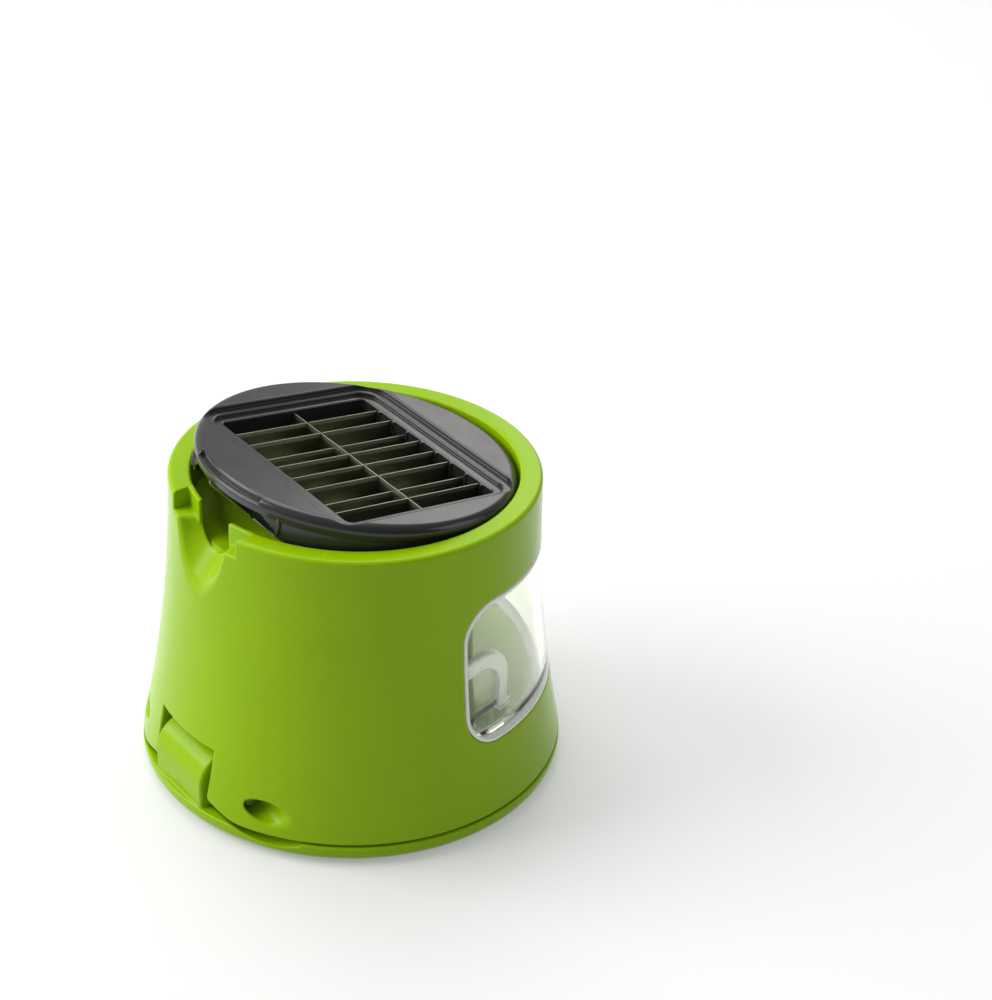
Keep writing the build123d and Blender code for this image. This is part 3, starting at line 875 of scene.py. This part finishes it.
def white_for_seeing_rays(nodes, links, shader_output, strengths):
    """Adds plain white to what camera, glossy and transmission rays see of a surface."""
    rays = nodes.new("ShaderNodeLightPath")
    total = None
    for kind, strength in strengths.items():
        part = nodes.new("ShaderNodeMath")
        part.operation = "MULTIPLY_ADD"
        part.inputs[1].default_value = strength
        part.inputs[2].default_value = 0.0
        links.new(rays.outputs[kind], part.inputs[0])
        if total is not None:
            links.new(total, part.inputs[2])
        total = part.outputs[0]
    glow = nodes.new("ShaderNodeEmission")
    links.new(total, glow.inputs["Strength"])
    total = nodes.new("ShaderNodeAddShader")
    links.new(shader_output, total.inputs[0])
    links.new(glow.outputs[0], total.inputs[1])
    return total.outputs[0]


def make_floor():
    material, nodes, links, shader = new_material("pale_floor")
    shader.inputs["Base Color"].default_value = (0.62, 0.62, 0.62, 1)
    shader.inputs["Roughness"].default_value = 0.9
    shader.inputs["Specular IOR Level"].default_value = 0.0
    strengths = {"Is Camera Ray": 0.28, "Is Glossy Ray": 0.42, "Is Transmission Ray": 0.28}
    total = white_for_seeing_rays(nodes, links, shader.outputs[0], strengths)
    links.new(total, nodes["Material Output"].inputs["Surface"])
    corners = [(FLOOR_REACH * x, FLOOR_REACH * y, 0) for x, y in ((-1, -1), (1, -1), (1, 1), (-1, 1))]
    floor = mesh_piece("floor", corners, [(0, 1, 2, 3)])
    floor.data.materials.append(material)


def make_world():
    """White for the camera. For the dicer, a tent that is bright on the left and dim towards the camera."""
    world = bpy.data.worlds.new("soft_tent")
    bpy.context.scene.world = world
    world.use_nodes = True
    nodes, links = world.node_tree.nodes, world.node_tree.links
    background = nodes["Background"]
    azimuth = math.radians(TENT_AZIMUTH)
    facing = nodes.new("ShaderNodeVectorMath")
    facing.operation = "DOT_PRODUCT"
    facing.inputs[1].default_value = (math.sin(azimuth), -math.cos(azimuth), 0.25)
    links.new(nodes.new("ShaderNodeTexCoord").outputs["Generated"], facing.inputs[0])
    strength = remap(nodes, links, facing.outputs["Value"], -0.8, 0.9, TENT_DIM, TENT_BRIGHT)
    links.new(strength, background.inputs["Strength"])
    seen = nodes.new("ShaderNodeBackground")
    seen.inputs["Strength"].default_value = 1.0
    seen.inputs["Color"].default_value = (1, 1, 1, 1)
    background.inputs["Color"].default_value = (1, 1, 1, 1)
    rays = nodes.new("ShaderNodeLightPath")
    choice = nodes.new("ShaderNodeMixShader")
    links.new(rays.outputs["Is Camera Ray"], choice.inputs[0])
    links.new(background.outputs[0], choice.inputs[1])
    links.new(seen.outputs[0], choice.inputs[2])
    links.new(choice.outputs[0], nodes["World Output"].inputs["Surface"])


def soft_light(name, azimuth, elevation, size, radiance, tint=(1.0, 1.0, 1.0)):
    """Square lamp that looks at the dicer. The azimuth is counted as for the camera."""
    data = bpy.data.lights.new(name, "AREA")
    data.shape = "SQUARE"
    data.size = size
    data.energy = radiance * math.pi * size ** 2
    data.color = tint
    lamp = bpy.data.objects.new(name, data)
    a, e = math.radians(azimuth), math.radians(elevation)
    back = Vector((math.sin(a) * math.cos(e), -math.cos(a) * math.cos(e), math.sin(e)))
    lamp.location = back * LAMP_DISTANCE + Vector((0, 0, VIEW_TARGET_Z * MM))
    lamp.rotation_mode = "QUATERNION"
    lamp.rotation_quaternion = back.to_track_quat("Z", "Y")
    bpy.context.scene.collection.objects.link(lamp)


make_camera()
make_floor()
make_world()
soft_light("key_light", azimuth=143, elevation=34, size=0.6, radiance=5.6)
soft_light("top_light", azimuth=75, elevation=62, size=0.6, radiance=3.0)
soft_light("back_card", azimuth=36, elevation=30, size=0.34, radiance=2.2, tint=(1.0, 0.97, 0.93))
soft_light("right_card", azimuth=315, elevation=22, size=0.5, radiance=1.3)

green = plastic("lime_plastic", colour=(0.285, 0.49, 0.0004), deep_colour=(0.26, 0.46, 0.0003),
                roughness=0.22, grain=0.00001, sheen_level=0.15)
grey = plastic("dark_grey_plastic_skin", colour=(0.021, 0.021, 0.022), deep_colour=(0.016, 0.016, 0.017),
               roughness=0.2, grain=0.00001, sheen_level=0.5)
make_case(green)
make_cover(green)
make_container(clear_plastic("clear_cup_plastic"))
make_insert(grey)
make_foot_ring(rubber("foot_ring_rubber"))
# the blade steel is tinted olive as a painted reflection of the green case around the blades
blade_steel = steel("ground_blade_steel", colour=(0.3, 0.31, 0.22), roughness=0.36,
                    grain_scale=(4000, 120, 4000))
pin_steel = steel("turned_pin_steel", colour=(0.5, 0.48, 0.44), roughness=0.35, grain_scale=(4000, 900, 900))
dress_nodes(blade_steel, pin_steel, grey)

bpy.context.scene.view_settings.view_transform = "Standard"
